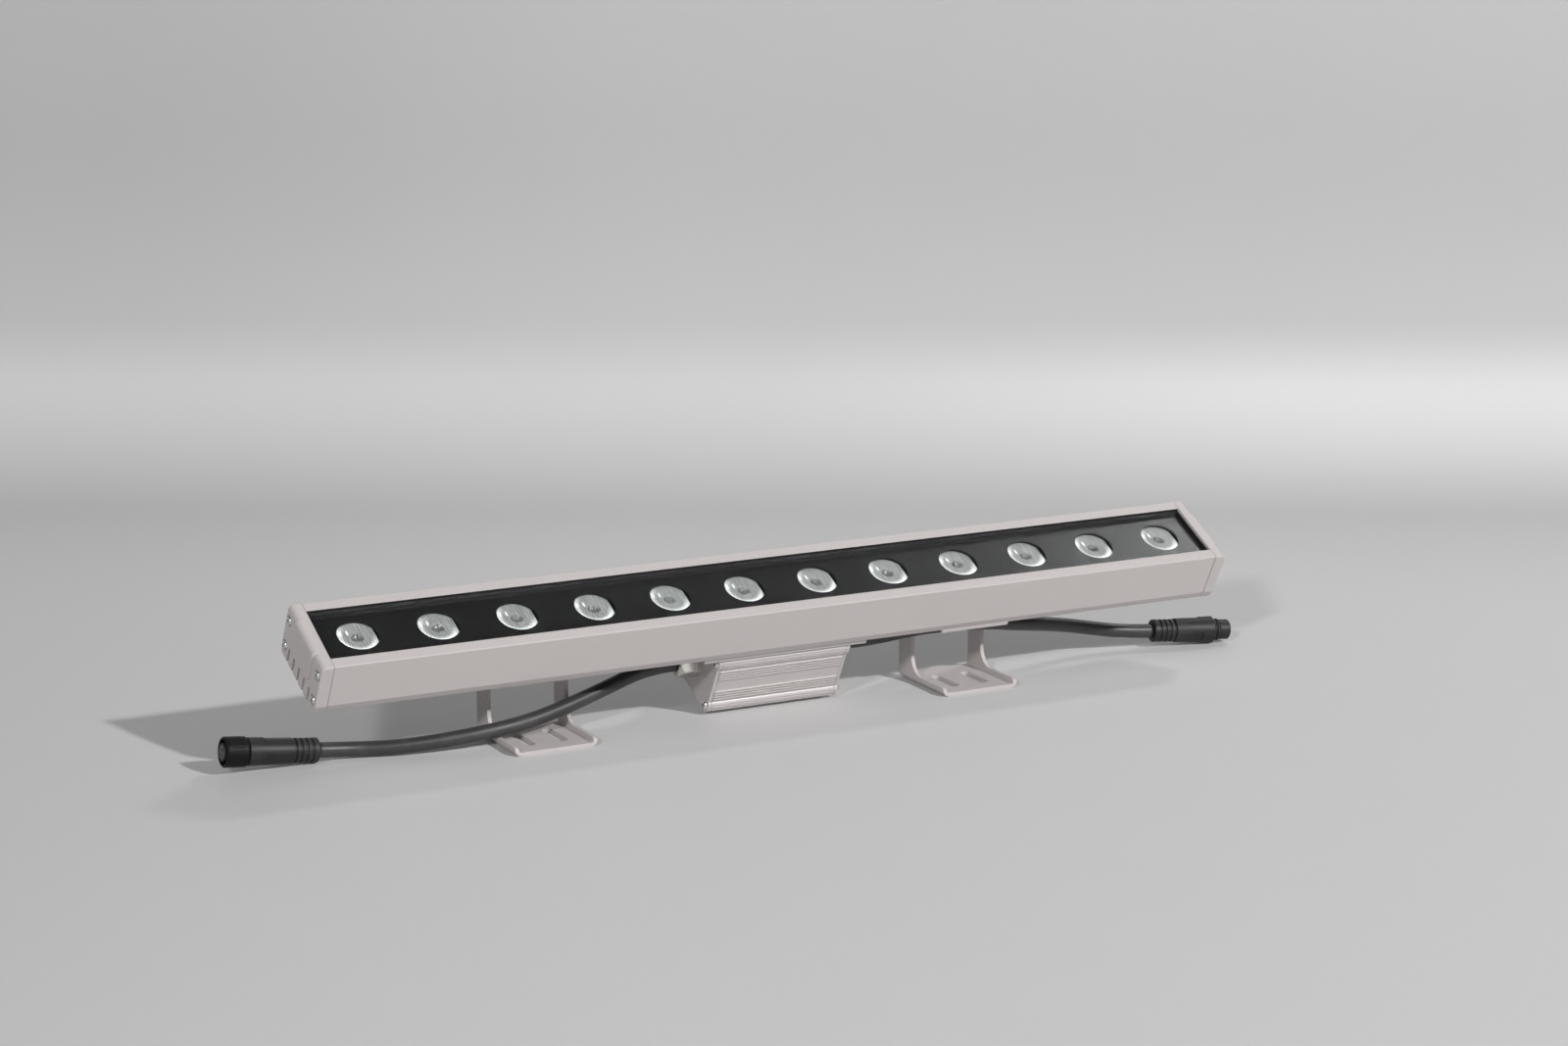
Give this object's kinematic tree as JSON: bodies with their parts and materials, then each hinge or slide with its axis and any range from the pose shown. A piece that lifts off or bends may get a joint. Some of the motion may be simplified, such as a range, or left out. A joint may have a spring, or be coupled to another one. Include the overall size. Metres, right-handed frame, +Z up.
{
  "type": "linear wall washer light",
  "caption": "Linear wall washer light: a bar of ribbed lenses behind black-masked glass that tilts on slotted feet, with a driver box underneath and plug-in leads.",
  "frame": {"origin": "on the mounting surface, under the middle of the lamp without its leads", "axes": "+X along the bar towards the plug end, +Y to the back, +Z up from the mounting surface"},
  "size_m": [0.5633, 0.068, 0.0788],
  "materials": {
    "painted_aluminium": "satin warm grey paint",
    "bare_aluminium": "extruded, bare",
    "painted_steel": "satin warm grey paint",
    "stainless": "brushed",
    "plated_brass": "nickel plated",
    "glass": "polished",
    "clear_lens": "clear moulded, silvery through its ribs",
    "black_mask": "satin black",
    "black_plastic": "satin black",
    "light_board": "white solder mask",
    "led_phosphor": "phosphor",
    "black_rubber": "matte black",
    "wire_sleeve": "matte",
    "circuit_board": "solder mask",
    "driver_casing": "satin",
    "contact_brass": "plated"
  },
  "bodies": {
    "left_bracket": {"bracket_left": "painted_steel", "cable_left": "black_rubber", "cable_right": "black_rubber", "connector_left": "black_plastic", "socket_insert": "black_plastic", "socket_contacts": "contact_brass", "connector_right": "black_plastic", "connector_oring": "black_rubber", "pin_insert": "black_plastic", "pin_contacts": "contact_brass"},
    "head": {"housing": "painted_aluminium", "end_cap_left": "painted_aluminium", "end_cap_right": "painted_aluminium", "box_shell": "bare_aluminium", "box_mount_plate": "bare_aluminium", "box_end_plate_left": "bare_aluminium", "box_end_plate_right": "bare_aluminium", "carrier_left": "painted_steel", "carrier_right": "painted_steel", "cap_screws": "stainless", "board_screws": "stainless", "plate_screws": "stainless", "box_end_screws": "stainless", "carrier_screws": "stainless", "pivot_bolts": "stainless", "pivot_washers": "stainless", "pivot_nuts": "stainless", "gland_body_left": "plated_brass", "gland_body_right": "plated_brass", "gland_nut_left": "plated_brass", "gland_nut_right": "plated_brass", "front_glass": "glass", "lens_01": "clear_lens", "lens_02": "clear_lens", "lens_03": "clear_lens", "lens_04": "clear_lens", "lens_05": "clear_lens", "lens_06": "clear_lens", "lens_07": "clear_lens", "lens_08": "clear_lens", "lens_09": "clear_lens", "lens_10": "clear_lens", "lens_11": "clear_lens", "lens_12": "clear_lens", "lens_mask": "black_mask", "lens_holders": "black_plastic", "led_board": "light_board", "led_packages": "led_phosphor", "cap_gaskets": "black_rubber", "glass_seal": "black_rubber", "box_gaskets": "black_rubber", "lead_grommet": "black_rubber", "gland_seals": "black_rubber", "cable_tails": "black_rubber", "board_leads": "wire_sleeve", "supply_leads": "wire_sleeve", "driver_board": "circuit_board", "driver_parts": "driver_casing"},
    "right_bracket": {"bracket_right": "painted_steel"},
    "coupling_ring": {"coupling_ring": "black_plastic"}
  },
  "joints": [
    {"name": "head_tilt", "type": "hinge", "parent": "left_bracket", "child": "head", "pos_m": [-0.1287, 0.01315, 0.03716], "axis": [-1, 0, 0], "range_deg": [0, 117], "deforming": ["cable_left", "cable_right"]},
    {"name": "right_bracket_tilt", "type": "hinge", "parent": "head", "child": "right_bracket", "pos_m": [0.1072, 0.01315, 0.03716], "axis": [-1, 0, 0], "range_deg": [-117, 0]},
    {"name": "ring_spin", "type": "hinge", "parent": "left_bracket", "child": "coupling_ring", "pos_m": [-0.27287, 0.00879, 0.01005], "axis": [-0.9937, -0.0087, 0.1115], "continuous": true}
  ],
  "couplings": [
    {"joint": "right_bracket_tilt", "follows": "head_tilt", "ratio": -1}
  ]
}
